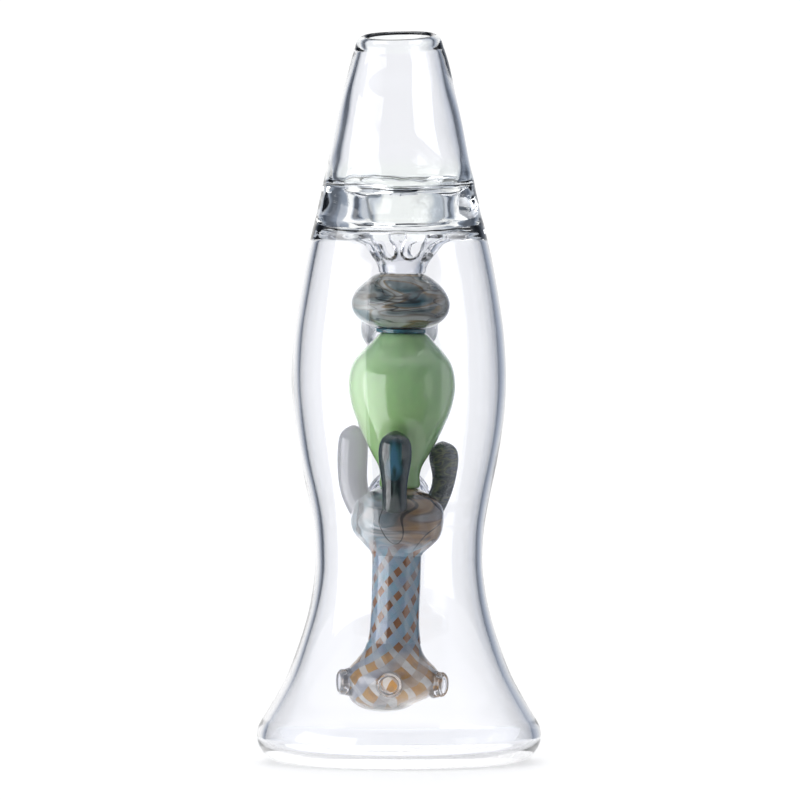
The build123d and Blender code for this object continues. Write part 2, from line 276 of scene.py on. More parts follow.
def finish_with(piece, material, slot, *nodes):
    """Paints a piece, fixes it to the pipe and hides the plain shapes that it stands for."""
    piece.data.materials.clear()
    piece.data.materials.append(material)
    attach(piece, "root")
    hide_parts(*nodes)


def new_material(name):
    """A material, its Principled shader and the place on the piece as a wire."""
    material = bpy.data.materials.new(name)
    material.use_nodes = True
    tree = material.node_tree
    place = Wire(tree, tree.nodes.new("ShaderNodeTexCoord").outputs["Object"])
    return material, tree.nodes["Principled BSDF"], place


def noise(place, size, detail=2.0, twist=0.0):
    """Cloudy noise whose lumps are about this many millimetres across."""
    settings = {"Vector": place, "Scale": 1 / (size * mm), "Detail": detail, "Distortion": twist}
    return place.node("TexNoise", {}, settings)


def mixed(factor, first, second):
    """A colour between two, each a wire or (red, green, blue)."""
    first, second = ((*c, 1) if isinstance(c, tuple) else c for c in (first, second))
    return factor.node("Mix", {"data_type": "RGBA"}, {0: factor, 6: first, 7: second}, 2)


def joined(shader, colour, height, depth):
    """Joins a colour, and a height with its depth in millimetres, to a shader."""
    bump = height.node("Bump", {}, {"Strength": 1.0, "Distance": depth * mm, "Height": height})
    height.tree.links.new(bump.socket, shader.inputs["Normal"])
    height.tree.links.new(colour.socket, shader.inputs["Base Color"])


glass_bend = 1.474


def glassy(shader, roughness, transmission, coat):
    """The plain numbers of a glass shader."""
    shader.inputs["Roughness"].default_value = roughness
    shader.inputs["IOR"].default_value = glass_bend
    shader.inputs["Transmission Weight"].default_value = transmission
    shader.inputs["Coat Weight"].default_value = coat
    shader.inputs["Coat Roughness"].default_value = 0.01
    shader.inputs["Coat IOR"].default_value = glass_bend


# Clear glass is faintly lavender, and green where it is thick: at the weld and in the lip.
clear_glass, clear_shader, clear_place = new_material("clear_glass")
clear_height = clear_place.part("Z") * 1000
thick = clear_height.between(145, 149) * (1 - clear_height.between(160, 168))
thick = thick + clear_height.between(196, 198.5) * 0.7
clear_colour = mixed(thick, (0.962, 0.966, 0.985), (0.948, 0.966, 0.962))
joined(clear_shader, clear_colour, noise(clear_place, 16, 1.0), 0.03)
glassy(clear_shader, 0.0, 1.0, 0.0)

foot_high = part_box("foot_plate")[1]
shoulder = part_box("divider_disc")[0].z / mm
divider_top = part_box("divider_disc")[1].z / mm
lip_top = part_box("mouthpiece")[1].z / mm
foot_radius = foot_high.x / mm
foot_round = foot_high.z / mm
flat_radius = foot_radius - foot_round
flare = 33.5
wall = 2.3
floor_thick = 3.4
bulge_radius = 29.6
waist_radius = 23.1

side = smooth_run([
    arc((flat_radius, foot_round), foot_round, flare, flare, 1)[0],
    (33.9, 18.2), (30.4, 25.0), (26.9, 34.6), (24.6, 43.0), (23.3, 51.5), (waist_radius, 57.0),
    (23.6, 65.0), (25.0, 73.0), (27.1, 83.0), (29.0, 95.0), (bulge_radius, 105.5),
    (29.0, 117.5), (27.7, 127.0), (25.9, 137.0), (23.7, shoulder),
])
divider_side = smooth_run([
    side[-1], (22.75, shoulder + 3.6), (22.2, shoulder + 6.4), (21.25, divider_top),
], 5)
cone_side = smooth_run([
    divider_side[-1], (20.7, divider_top + 3.2), (19.5, 165.5), (17.4, 176.0), (15.2, 185.5),
    (13.2, 193.4), (12.2, 196.6),
], 6)
lip_round = smooth_run([
    cone_side[-1], (11.6, 198.5), (10.5, 199.7), (9.6, lip_top - 0.1), (9.1, 198.9), (9.7, 197.5),
    (10.75, 195.8),
], 5)
cone_inside = smooth_run([
    lip_round[-1], (11.7, 192.0), (13.1, 185.0), (15.0, 175.5), (16.6, 167.5), (17.3, 163.0),
    (17.5, 160.2), (17.0, 158.5), (15.6, 157.7), (13.2, 157.2), (11.6, 156.3), (10.7, 154.4),
    (10.5, 151.6), (11.0, 149.2), (12.0, shoulder + 0.5), (12.6, shoulder + 0.3),
], 5)
under_wall = moved_in(side, wall)
corner_round = 3.0
corner = (under_wall[-1][0] - corner_round, shoulder - corner_round)
under_corner = arc(corner, corner_round, 90, 12, 6)
inner_side = [point for point in reversed(under_wall) if point[1] < shoulder - corner_round + 0.5]
floor_round = foot_round - floor_thick
inner_edge = foot_radius - wall
floor_corner = arc((inner_edge - floor_round, foot_round), floor_round, 0, -90, 6)
floor_run = smooth_run([
    (28.0, floor_thick), (24.0, floor_thick + 0.25), (19.5, floor_thick - 0.15),
    (14.5, floor_thick + 0.2), (9.0, floor_thick - 0.2), (0, floor_thick - 0.1),
], 5)
vessel = turned("vessel", (
    [(0, 0), (16, 0), (flat_radius - 1, 0)]
    + arc((flat_radius, foot_round), foot_round, -90, flare, 14)[:-1]
    + side[:-1] + divider_side[:-1] + cone_side[:-1] + lip_round[:-1] + cone_inside
    + under_corner + inner_side + floor_corner + floor_run
), 192)

# The lip was finished by hand: it leans towards the front and drops a little on the left.
lip_lean = math.radians(6.3)
lip_drop = math.radians(1.6)
lip_centre = (0, 0, 0.197)
lip_foot = 0.1955
lip_blend = 0.012
edit(vessel, lambda place: place.z > lip_foot)
for axis, turn in (("X", lip_lean), ("Y", -lip_drop)):
    bpy.ops.transform.rotate(
        value=-turn, orient_axis=axis, center_override=lip_centre,
        use_proportional_edit=True, proportional_edit_falloff="SMOOTH", proportional_size=lip_blend,
    )
smooth_off(vessel)

# The drain is in line with the column, which hangs a little to the right of the axis.
drain_shift = (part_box("vent_funnel")[0].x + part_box("vent_funnel")[1].x) / 2
drain_edge = 0.0127
drain_blend = 0.003
edit(vessel, lambda place: math.hypot(place.x, place.y) < drain_edge and 0.146 < place.z < 0.1572)
bpy.ops.transform.translate(
    value=(drain_shift, 0, 0), use_proportional_edit=True, proportional_size=drain_blend,
)
smooth_off(vessel)


def ramp(value, low, high):
    """0 below low, 1 above high and even in between."""
    return min(1.0, max(0.0, (value - low) / (high - low)))


def band(value, low, full_from, full_to, high):
    """A share that rises from 0 at low to 1, stays there and falls back to 0 at high."""
    return ramp(value, low, full_from) * ramp(value, high, full_to)


def wavy(piece, strength, size, share):
    """Moves a piece's skin in and out by a slow wave; share says how much at each place."""
    texture = bpy.data.textures.new("wave", "CLOUDS")
    texture.noise_scale = size * mm
    texture.noise_depth = 1
    group = piece.vertex_groups.new(name="wave")
    for corner in piece.data.vertices:
        group.add([corner.index], share(corner.co), "REPLACE")
    bpy.context.view_layer.objects.active = piece
    wave = piece.modifiers.new("wave", "DISPLACE")
    wave.texture = texture
    wave.texture_coords = "LOCAL"
    wave.strength = strength * mm
    wave.mid_level = 0.5
    wave.vertex_group = "wave"
    bpy.ops.object.modifier_apply(modifier="wave")
    piece.vertex_groups.clear()
    return piece


# Blown glass is never quite true: a slow wave runs through the wall above the foot and
# another through the cone.  The thick weld at the divider was pushed about with a paddle, so
# it waves most: first its inside, then its outside, then its underside round the funnel.
wavy(vessel, 0.25, 30, lambda place: ramp(place.z, 0.012, 0.042))
wavy(vessel, 0.4, 24, lambda place: ramp(place.z, 0.150, 0.170))
wavy(vessel, 1.2, 10, lambda place: (
    band(place.z, 0.149, 0.153, 0.160, 0.168) * ramp(place.xy.length, 0.0185, 0.0175)
))
wavy(vessel, 0.5, 7, lambda place: (
    band(place.z, 0.147, 0.150, 0.158, 0.166) * ramp(place.xy.length, 0.0185, 0.0200)
))
wavy(vessel, 0.7, 8, lambda place: (
    band(place.z, 0.1435, 0.1455, 0.1480, 0.1500)
    * band(place.xy.length, 0.0152, 0.0168, 0.0205, 0.0225)
))
finish_with(
    vessel, clear_glass, "clear_glass", "foot_plate", "body_shell", "divider_disc", "mouthpiece",
)

# ---- Column's lean -----------------------------------------------------------------------
# The column was fused in by eye and leans about a degree to the right going up.  Its pieces
# are turned upright and then leaned together.
diffuser_low, diffuser_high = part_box("diffuser")
funnel_low, funnel_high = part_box("vent_funnel")
foot_place = (diffuser_low + diffuser_high) / 2
head_place = (funnel_low + funnel_high) / 2
lean = (head_place.x - foot_place.x) / (head_place.z - foot_place.z)
lean_start = foot_place.x - lean * foot_place.z


def leaned(piece, aside=0.0):
    """Leans a piece of the column, and shifts it by some millimetres to the right."""
    edit(piece)
    bpy.ops.transform.rotate(value=-math.atan(lean), orient_axis="Y", center_override=(0, 0, 0))
    bpy.ops.transform.translate(value=(lean_start + aside * mm, 0, 0))
    bpy.ops.object.mode_set(mode="OBJECT")
    return piece


def foot_of(node, radius):
    """The height on the column at which a piece's flat foot lies, in millimetres."""
    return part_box(node)[0].z / mm + radius * lean


knob_top = foot_of("vent_funnel", 6.5)
knob_bottom = foot_of("knob", 6.6)
band_bottom = foot_of("neck_band", 6.8)
bulb_foot = foot_of("bulb", 5.6)
collar_foot = foot_of("collar", 6.7)
stem_foot = foot_of("stem", 6.7)
gap = 0.03


def inside_ends(low, high, fade):
    """A share that is 1 along a piece and fades to 0 at its two ends."""
    return lambda place: ramp(place.z / mm, low, low + fade) * ramp(place.z / mm, high, high - fade)


# ---- Vent funnel -------------------------------------------------------------------------
# A clear cone that carries the column from the divider.  Eight U-shaped vents are cut from
# its top edge and fire-polished, so that their edges are soft.
funnel_outline = smooth_run([
    (6.4, knob_top + gap), (6.5, knob_top + 1.0), (7.0, knob_top + 2.4), (8.6, knob_top + 4.7),
    (11.6, knob_top + 8.6), (14.3, shoulder - gap),
], 6)
funnel_inside = smooth_run([
    (12.6, shoulder - gap), (9.8, knob_top + 9.0), (6.6, knob_top + 5.0), (4.9, knob_top + 2.8),
    (4.5, knob_top + 1.2), (4.4, knob_top + gap),
], 6)
funnel = turned("vent_funnel_glass", funnel_outline + funnel_inside + funnel_outline[:1], 128)
vent_count = 8
vent_half = 2.6
vent_low = 138.6
vent_turn = math.radians(-29 - 90)
vent_middle = 11.0
vent_reach = 16.0
vent_rise = 12.0


def cut_out(piece, tool):
    """Cuts the tool out of the piece and takes the tool away."""
    bpy.context.view_layer.objects.active = piece
    cut = piece.modifiers.new("cut", "BOOLEAN")
    cut.object = tool
    cut.operation = "DIFFERENCE"
    cut.solver = "EXACT"
    bpy.ops.object.modifier_apply(modifier="cut")
    bpy.data.objects.remove(tool)


def fire_polished(piece, grain, passes):
    """Melts a cut or joined piece into one skin and rounds its edges."""
    bpy.context.view_layer.objects.active = piece
    melt = piece.modifiers.new("melt", "REMESH")
    melt.mode = "VOXEL"
    melt.voxel_size = grain * mm
    bpy.ops.object.modifier_apply(modifier="melt")
    polish = piece.modifiers.new("polish", "SMOOTH")
    polish.factor = 0.5
    polish.iterations = passes
    bpy.ops.object.modifier_apply(modifier="polish")
    bpy.ops.object.select_all(action="DESELECT")
    piece.select_set(True)
    bpy.ops.object.shade_smooth()
    return piece


for number in range(vent_count):
    angle = vent_turn + number * 2 * math.pi / vent_count
    out = Vector((math.cos(angle), math.sin(angle), 0))
    bpy.ops.object.select_all(action="DESELECT")
    bpy.ops.mesh.primitive_cylinder_add(
        vertices=32, radius=vent_half * mm, depth=vent_reach * mm,
        rotation=(math.pi / 2, 0, angle + math.pi / 2),
        location=out * (vent_middle * mm) + Vector((0, 0, (vent_low + vent_half) * mm)),
    )
    vent = bpy.context.object
    bpy.ops.object.transform_apply()
    edit(vent, lambda place: place.z > (vent_low + vent_half - 0.01) * mm)
    bpy.ops.mesh.extrude_region_move(TRANSFORM_OT_translate={"value": (0, 0, vent_rise * mm)})
    bpy.ops.object.mode_set(mode="OBJECT")
    cut_out(funnel, vent)
fire_polished(funnel, 0.25, 8)
finish_with(leaned(funnel), clear_glass, "clear_glass", "vent_funnel")

# ---- Knob --------------------------------------------------------------------------------
# A flattened bead of smoky glass, gathered on the rod and twisted, so that tan, brown and
# grey streaks run round it in long shallow swirls.
smoky_glass, smoky_shader, smoky_place = new_material("smoky_glass")
drawn = smoky_place.node("Mapping", {}, {
    "Vector": smoky_place, "Rotation": (0.25, 0.32, 0), "Scale": (0.5, 0.8, 2.4),
})
swirl = noise(drawn, 14, 1.5, 0.9)
body = swirl.node("ValToRGB", {"stops": [
    (0.28, (0.03, 0.045, 0.04)), (0.37, (0.12, 0.17, 0.17)), (0.44, (0.34, 0.38, 0.36)),
    (0.48, (0.20, 0.17, 0.12)), (0.51, (0.42, 0.43, 0.39)), (0.57, (0.56, 0.57, 0.53)),
    (0.61, (0.30, 0.20, 0.09)), (0.66, (0.20, 0.25, 0.25)), (0.76, (0.08, 0.19, 0.22)),
]}, {"Fac": swirl})
smoky_right = smoky_place.part("X") * 1000
smoky_level = smoky_place.part("Z") * 1000
threads = noise(drawn, 10, 1.0, 1.2)
dark_thread = threads.between(0.475, 0.495) * (1 - threads.between(0.505, 0.525))
gold = noise(drawn, 11, 1.0, 0.6).between(0.56, 0.62) * threads.between(0.48, 0.6)
body = mixed(dark_thread * 0.8, body, (0.035, 0.035, 0.03))
body = mixed(gold * 0.8, body, (0.46, 0.30, 0.10))
low_left = (0 - smoky_right).between(2, 10) * (1 - smoky_level.between(121, 127))
body = mixed(low_left * 0.55, body, (0.05, 0.24, 0.28))
# Painted shade: the knob's right edge is darkened towards near-black.
body = mixed(smoky_right.between(8.5, 14.5) * 0.75, body, (0.05, 0.055, 0.05))
joined(smoky_shader, body, swirl, 0.08)
glassy(smoky_shader, 0.03, 0.25, 0.8)
knob = turned("knob_glass", smooth_run([
    (0, knob_top - gap), (5.0, knob_top - gap), (6.7, knob_top - 0.3), (9.4, 132.4), (11.8, 130.2),
    (13.2, 127.8), (13.55, 125.7), (13.0, 123.5), (11.2, 121.4), (8.4, 119.9),
    (6.9, knob_bottom + 0.2), (5.5, knob_bottom + gap), (0, knob_bottom + gap),
], 7), 128)
wavy(knob, 0.6, 16, inside_ends(knob_bottom, knob_top, 3))
finish_with(leaned(knob, -0.25), smoky_glass, "smoky_glass", "knob")

# ---- Neck band ---------------------------------------------------------------------------
# A thin ring of teal glass where the knob meets the bulb.
teal_glass, teal_shader, teal_place = new_material("teal_glass")
dab = noise(teal_place, 5, 2.0)
teal = dab.node("ValToRGB", {"stops": [
    (0.35, (0.02, 0.05, 0.06)), (0.48, (0.05, 0.17, 0.22)), (0.6, (0.12, 0.28, 0.33)),
    (0.7, (0.25, 0.28, 0.2)),
]}, {"Fac": dab})
joined(teal_shader, teal, dab, 0.05)
glassy(teal_shader, 0.04, 0.0, 0.8)
neck = turned("band_glass", smooth_run([
    (0, knob_bottom - gap), (6.0, knob_bottom - gap), (6.9, knob_bottom - 0.2),
    (6.95, knob_bottom - 0.8), (6.8, band_bottom + 0.2), (6.0, band_bottom + gap),
    (0, band_bottom + gap),
], 4), 96)
finish_with(leaned(neck), teal_glass, "teal_glass", "neck_band")

# ---- Bulb --------------------------------------------------------------------------------
# The opaque mint teardrop, blown and pulled down to a narrow throat, then polished.
mint_glass, mint_shader, mint_place = new_material("mint_glass")
cloud = noise(mint_place, 14, 2.0)
fill = mint_place.part("Z").between(0.078, 0.118) * 0.85 + cloud * 0.15
milk = fill.node("ValToRGB", {"stops": [
    (0.0, (0.30, 0.52, 0.17)), (0.45, (0.44, 0.72, 0.30)), (1.0, (0.50, 0.78, 0.40)),
]}, {"Fac": fill})
joined(mint_shader, milk, cloud, 0.04)
glassy(mint_shader, 0.10, 0.0, 1.0)
mint_shader.inputs["Subsurface Weight"].default_value = 0.2
mint_shader.inputs["Subsurface Radius"].default_value = (0.4, 1.0, 0.3)
mint_shader.inputs["Subsurface Scale"].default_value = 0.002
bulb_top = band_bottom - gap
bulb = turned("bulb_glass", smooth_run([
    (0, bulb_top), (6.0, bulb_top), (6.9, bulb_top - 0.5), (8.9, 115.4), (11.3, 113.0),
    (13.2, 110.6), (14.3, 107.8), (14.8, 104.2), (14.5, 100.6), (13.5, 96.4), (11.7, 92.1),
    (9.8, 88.2), (7.8, 84.4), (6.2, 81.3), (5.65, 78.8), (5.8, 76.6), (5.3, bulb_foot + gap),
    (0, bulb_foot + gap),
], 7), 144)
wavy(bulb, 0.3, 30, inside_ends(bulb_foot, bulb_top, 4))
finish_with(leaned(bulb, 0.75), mint_glass, "mint_glass", "bulb")

# ---- Striped glass -----------------------------------------------------------------------
# The collar, the stem and the diffuser are drawn from one tube of pale blue glass.  Amber
# gaps climb to the right, and thin grey canes that climb to the left cross over them.
striped_glass, striped_shader, striped_place = new_material("striped_glass")
level = striped_place.part("Z") * 1000
sideways = striped_place.part("X") - (level * (lean * mm) + lean_start)
angle_round = striped_place.maths("ARCTAN2", striped_place.part("Y"), sideways)
around = angle_round * (1 / (2 * math.pi))
rightward = striped_place.maths("COSINE", angle_round)
wander = noise(striped_place, 13, 1.0, 0.6)
blotch = noise(striped_place, 6, 2.0, 1.0)
in_collar = level.between(57.5, 62)
in_end = 1 - level.between(25, 34)
drift = (wander - 0.5) * (0.05 + in_collar * 0.15 + in_end * 0.06)

gap_count, gap_climb = 7, 50.0
cane_count, cane_climb = 10, 67.0
gap_phase = (around - level * (1 / gap_climb) + drift) * gap_count
cane_phase = (around + level * (1 / cane_climb) - drift) * cane_count


def stripe(phase, half, soft=0.03):
    """1 along the middle of each stripe, out to a share of their spacing, and 0 elsewhere."""
    off = phase.maths("PINGPONG", phase, 0.5)
    return 1 - off.between(half, half + soft)


blue = mixed(blotch.between(0.35, 0.65), (0.36, 0.58, 0.70), (0.46, 0.56, 0.72))
# Painted shade: the blue is darker on the right side of the tube.
blue = mixed(rightward.between(0.4, 1.0) * 0.5, blue, (0.20, 0.34, 0.40))
tan = mixed(rightward.between(-0.6, 0.5), (0.44, 0.46, 0.52), (0.52, 0.38, 0.26))
body = mixed(in_end, blue, tan)
rolled = noise(striped_place.node("Mapping", {}, {
    "Vector": striped_place, "Rotation": (0.2, 0.5, 0), "Scale": (0.7, 0.8, 1.9),
}), 11, 1.2, 1.2)
rolled_right = rolled.node("ValToRGB", {"stops": [
    (0.32, (0.12, 0.10, 0.08)), (0.42, (0.42, 0.24, 0.12)), (0.50, (0.60, 0.40, 0.22)),
    (0.56, (0.30, 0.22, 0.17)), (0.64, (0.52, 0.50, 0.47)), (0.74, (0.18, 0.22, 0.22)),
]}, {"Fac": rolled})
rolled_left = rolled.node("ValToRGB", {"stops": [
    (0.32, (0.10, 0.13, 0.14)), (0.44, (0.36, 0.50, 0.58)), (0.52, (0.56, 0.62, 0.66)),
    (0.58, (0.20, 0.30, 0.34)), (0.68, (0.40, 0.44, 0.46)),
]}, {"Fac": rolled})
swirled = mixed(rightward.between(-0.5, 0.4), rolled_left, rolled_right)
body = mixed(in_collar, body, swirled)
amber = mixed(in_end, (0.43, 0.20, 0.09), (0.58, 0.31, 0.07))
amber = mixed(blotch.between(0.52, 0.62) * 0.4, amber, (0.22, 0.12, 0.06))
every_other = stripe(gap_phase * 0.5, 0.25)
faded = every_other * level.between(45, 52) * (1 - in_collar)
amber = mixed(faded * 0.75, amber, (0.50, 0.44, 0.42))
amber_half = 0.19 + in_end * 0.06
on_amber = stripe(gap_phase, amber_half) * (1 - in_collar * 0.85)
body = mixed(on_amber, body, amber)
cane_paint = mixed(in_end, (0.62, 0.66, 0.68), (0.82, 0.84, 0.84))
cane_show = 0.32 + on_amber * 0.6
body = mixed(stripe(cane_phase, 0.19) * cane_show * (1 - in_collar * 0.8), body, cane_paint)
# The end's colour turns dark towards its bottom.
darker_bottom = 1 - level.between(13.5, 19.0)
darker_bottom_colour = mixed(blotch.between(0.4, 0.6), (0.06, 0.09, 0.09), (0.24, 0.22, 0.19))
body = mixed(darker_bottom * 0.85, body, darker_bottom_colour)
vein = wander.between(0.485, 0.5) * (1 - wander.between(0.51, 0.525))
body = mixed(vein * (0.1 + in_collar * 0.75), body, (0.05, 0.05, 0.045))
joined(striped_shader, body, blotch, 0.12)
glassy(striped_shader, 0.05, 0.22, 1.0)

# A painted glow: the inside of the hollow end emits light of its own, in the body's colour,
# standing in for light that gathers there and shows through the ports.
hollow_level = 22.0
hollow_half_height = 7.6
hollow_radius = 11.0
hollow_up = (level - hollow_level) * (1 / hollow_half_height)
hollow_aside = sideways * (1000 / hollow_radius)
hollow_back = striped_place.part("Y") * (1000 / hollow_radius)
hollow = hollow_up * hollow_up + hollow_aside * hollow_aside + hollow_back * hollow_back
painted_glow = mixed(1 - hollow.between(1.08, 1.22), (0.0, 0.0, 0.0), body)
painted_glow.tree.links.new(painted_glow.socket, striped_shader.inputs["Emission Color"])
striped_shader.inputs["Emission Strength"].default_value = 0.5

# ---- Collar ------------------------------------------------------------------------------
# A lumpy hollow bead below the bulb.  The fingers stand on its shoulder.
collar = turned("collar_glass", smooth_run([
    (0, bulb_foot - gap), (4.8, bulb_foot - gap), (6.4, 75.2), (9.6, 73.6), (11.9, 71.3),
    (12.9, 68.0), (12.7, 64.8), (11.3, 62.0), (9.1, 59.6), (7.5, 58.0), (6.85, collar_foot),
    (4.6, collar_foot), (5.2, 60.0), (8.4, 64.0), (9.6, 68.0), (7.0, 71.0), (0, 72.0),
], 6), 144)
wavy(collar, 2.0, 11, inside_ends(collar_foot, bulb_foot, 4))
finish_with(leaned(collar, 0.2), striped_glass, "striped_glass", "collar")

# ---- Fingers -----------------------------------------------------------------------------
# Solid drips of coloured glass pulled up from the collar's shoulder.  Each is a gathered
# rod, rounded at the tip and a little slimmer where it meets the collar.  The front one is
# green, nearly black, with a blue core; the left one is lavender grey and the right one olive.
def drip(name, path, radii):
    """A round drip along a path: the radius at each point swells and ends in a round tip."""
    bpy.ops.object.select_all(action="DESELECT")
    bpy.ops.curve.primitive_bezier_curve_add()
    line = bpy.context.object
    line.name = name
    line.data.splines.clear()
    spline = line.data.splines.new("NURBS")
    spline.points.add(len(path) - 1)
    for point, place, radius in zip(spline.points, path, radii):
        point.co = (*[value * mm for value in place], 1)
        point.radius = radius
    spline.order_u = 4
    spline.use_endpoint_u = True
    spline.resolution_u = 8
    line.data.bevel_depth = mm
    line.data.bevel_resolution = 8
    line.data.use_fill_caps = True
    bpy.ops.object.convert(target="MESH")
    piece = bpy.context.object
    edit(piece)
    bpy.ops.mesh.remove_doubles(threshold=0.01 * mm)
    bpy.ops.mesh.normals_make_consistent(inside=False)
    bpy.ops.object.mode_set(mode="OBJECT")
    return fire_polished(piece, 0.22, 10)


def standing(turn, rows):
    """Points up a finger from (distance out, height) rows, turned round the column."""
    angle = math.radians(turn)
    return [(
        reach * math.cos(angle) + lean_start / mm + lean * height, reach * math.sin(angle), height,
    ) for reach, height in rows]


dark_glass, dark_shader, dark_place = new_material("dark_glass")
dark_level = dark_place.part("Z") * 1000
off_middle = dark_place.part("X") * 1000 - (dark_level * lean + (lean_start / mm - 0.75))
off_middle = off_middle.maths("ABSOLUTE", off_middle)
drawn_up = dark_place.node("Mapping", {}, {"Vector": dark_place, "Scale": (2, 2, 0.6)})
dark_streak = noise(drawn_up, 6, 2.0)
core_colour = dark_streak.node("ValToRGB", {"stops": [
    (0.35, (0.02, 0.06, 0.05)), (0.46, (0.06, 0.22, 0.26)), (0.56, (0.10, 0.28, 0.42)),
    (0.68, (0.04, 0.12, 0.10)),
]}, {"Fac": dark_streak})
in_core = dark_level.between(77, 82) * (1 - dark_level.between(87, 91))
in_core = (1 - off_middle.between(0.8, 3.3)) * in_core
dark_colour = mixed(dark_streak.between(0.35, 0.65), (0.008, 0.022, 0.015), (0.022, 0.05, 0.035))
joined(dark_shader, mixed(in_core, dark_colour, core_colour), dark_streak, 0.03)
glassy(dark_shader, 0.0, 0.25, 1.0)
front_rows = [
    (11.0, 70.6), (12.4, 73.6), (13.4, 77.0), (14.2, 82.0), (14.8, 87.0), (15.1, 90.9),
    (15.1, 92.0),
]
front = drip("finger_front_glass", standing(-93, front_rows), [3.6, 3.4, 3.4, 4.4, 4.9, 3.9, 0.4])
finish_with(front, dark_glass, "dark_glass", "finger_front")

grey_glass, grey_shader, grey_place = new_material("grey_glass")
grey_drawn = grey_place.node("Mapping", {}, {"Vector": grey_place, "Scale": (1, 1, 0.5)})
grey_streak = noise(grey_drawn, 5, 2.0)
grey_colour = grey_streak.node("ValToRGB", {"stops": [
    (0.35, (0.15, 0.16, 0.21)), (0.5, (0.23, 0.24, 0.31)), (0.65, (0.29, 0.31, 0.36)),
]}, {"Fac": grey_streak})
joined(grey_shader, grey_colour, grey_streak, 0.04)
glassy(grey_shader, 0.03, 0.4, 0.5)
left_rows = [
    (10.0, 68.2), (12.2, 70.6), (14.5, 74.6), (14.9, 81.0), (14.8, 87.5), (14.7, 91.5),
    (14.7, 92.7),
]
left = drip("finger_left_glass", standing(150, left_rows), [3.9, 3.8, 4.1, 4.3, 4.4, 3.6, 0.4])
finish_with(left, grey_glass, "grey_glass", "finger_left")

olive_glass, olive_shader, olive_place = new_material("olive_glass")
fold = olive_place.node("Mapping", {}, {
    "Vector": olive_place, "Rotation": (0, 0.5, 0), "Scale": (1, 1, 2.2),
})
olive_streak = noise(fold, 8, 2.0, 1.5)
olive_colour = olive_streak.node("ValToRGB", {"stops": [
    (0.30, (0.04, 0.045, 0.04)), (0.42, (0.12, 0.13, 0.12)), (0.5, (0.20, 0.215, 0.17)),
    (0.54, (0.33, 0.32, 0.20)), (0.58, (0.14, 0.15, 0.14)), (0.68, (0.22, 0.25, 0.26)),
]}, {"Fac": olive_streak})
joined(olive_shader, olive_colour, olive_streak, 0.05)
glassy(olive_shader, 0.03, 0.4, 0.6)
right_rows = [
    (10.2, 68.0), (12.6, 70.6), (14.9, 74.8), (15.4, 79.5), (15.0, 83.5), (14.6, 86.9),
    (14.6, 88.0),
]
right = drip("finger_right_glass", standing(30, right_rows), [3.4, 3.0, 2.9, 3.4, 4.5, 3.7, 0.4])
finish_with(right, olive_glass, "olive_glass", "finger_right")

# ---- Stem --------------------------------------------------------------------------------
# The striped tube between the collar and the diffuser.
stem_outline = smooth_run([
    (6.85, collar_foot), (6.8, 55.0), (6.75, 48.0), (6.7, 41.0), (6.9, 36.5), (7.4, stem_foot),
], 6)
stem_bore = [(5.0, stem_foot), (4.6, 40.0), (4.6, 50.0), (4.6, collar_foot)]
stem = turned("stem_glass", stem_outline + stem_bore + stem_outline[:1], 128)
finish_with(leaned(stem, 0.2), striped_glass, "striped_glass", "stem")

# ---- Diffuser ----------------------------------------------------------------------------
# The hollow end bulb, pushed out round its five ports and sagging to the left at the bottom.
diffuser_outline = smooth_run([
    (7.4, stem_foot), (8.2, 30.2), (9.8, 28.0), (11.8, 26.0), (13.1, 24.0), (13.4, 21.8),
    (12.8, 19.4), (11.2, 17.2), (8.7, 15.2), (5.4, 13.4), (0, 12.5),
], 6)
diffuser_inside = smooth_run([
    (0, 14.6), (6.0, 16.4), (9.4, 19.6), (10.8, 22.0), (9.6, 25.0), (6.6, 28.4), (5.0, stem_foot),
], 5)
diffuser = turned("diffuser_glass", diffuser_outline + diffuser_inside + diffuser_outline[:1], 144)
port_count = 5
port_turn = -94
port_level = 21.5
port_start = 9.5
port_end = 15.4
port_half = 3.6
port_bore = 2.2
drill_spare = 0.5
drill_middle = 14.0
drill_length = 12.0
for number in range(port_count):
    bpy.ops.object.select_all(action="DESELECT")
    turn = math.radians(port_turn + number * 360 / port_count)
    bpy.ops.mesh.primitive_cylinder_add(
        vertices=32, radius=(port_bore + drill_spare) * mm, depth=drill_length * mm,
        location=(
            drill_middle * mm * math.cos(turn), drill_middle * mm * math.sin(turn), port_level * mm,
        ),
        rotation=(math.pi / 2, 0, turn + math.pi / 2),
    )
    drill = bpy.context.object
    bpy.ops.object.transform_apply()
    cut_out(diffuser, drill)
edit(diffuser)
bpy.ops.mesh.remove_doubles(threshold=0.01 * mm)
bpy.ops.mesh.fill_holes(sides=0)
bpy.ops.mesh.normals_make_consistent(inside=False)
bpy.ops.object.mode_set(mode="OBJECT")
sag_below = 0.0150
sag_blend = 0.007
edit(diffuser, lambda place: place.z < sag_below)
bpy.ops.transform.translate(
    value=(-0.0024, 0, 0.0003), use_proportional_edit=True, proportional_size=sag_blend,
)
smooth_off(diffuser)
wavy(diffuser, 0.7, 14, lambda place: ramp(place.z, stem_foot * mm, stem_foot * mm - 0.004))
finish_with(leaned(diffuser), striped_glass, "striped_glass", "diffuser")

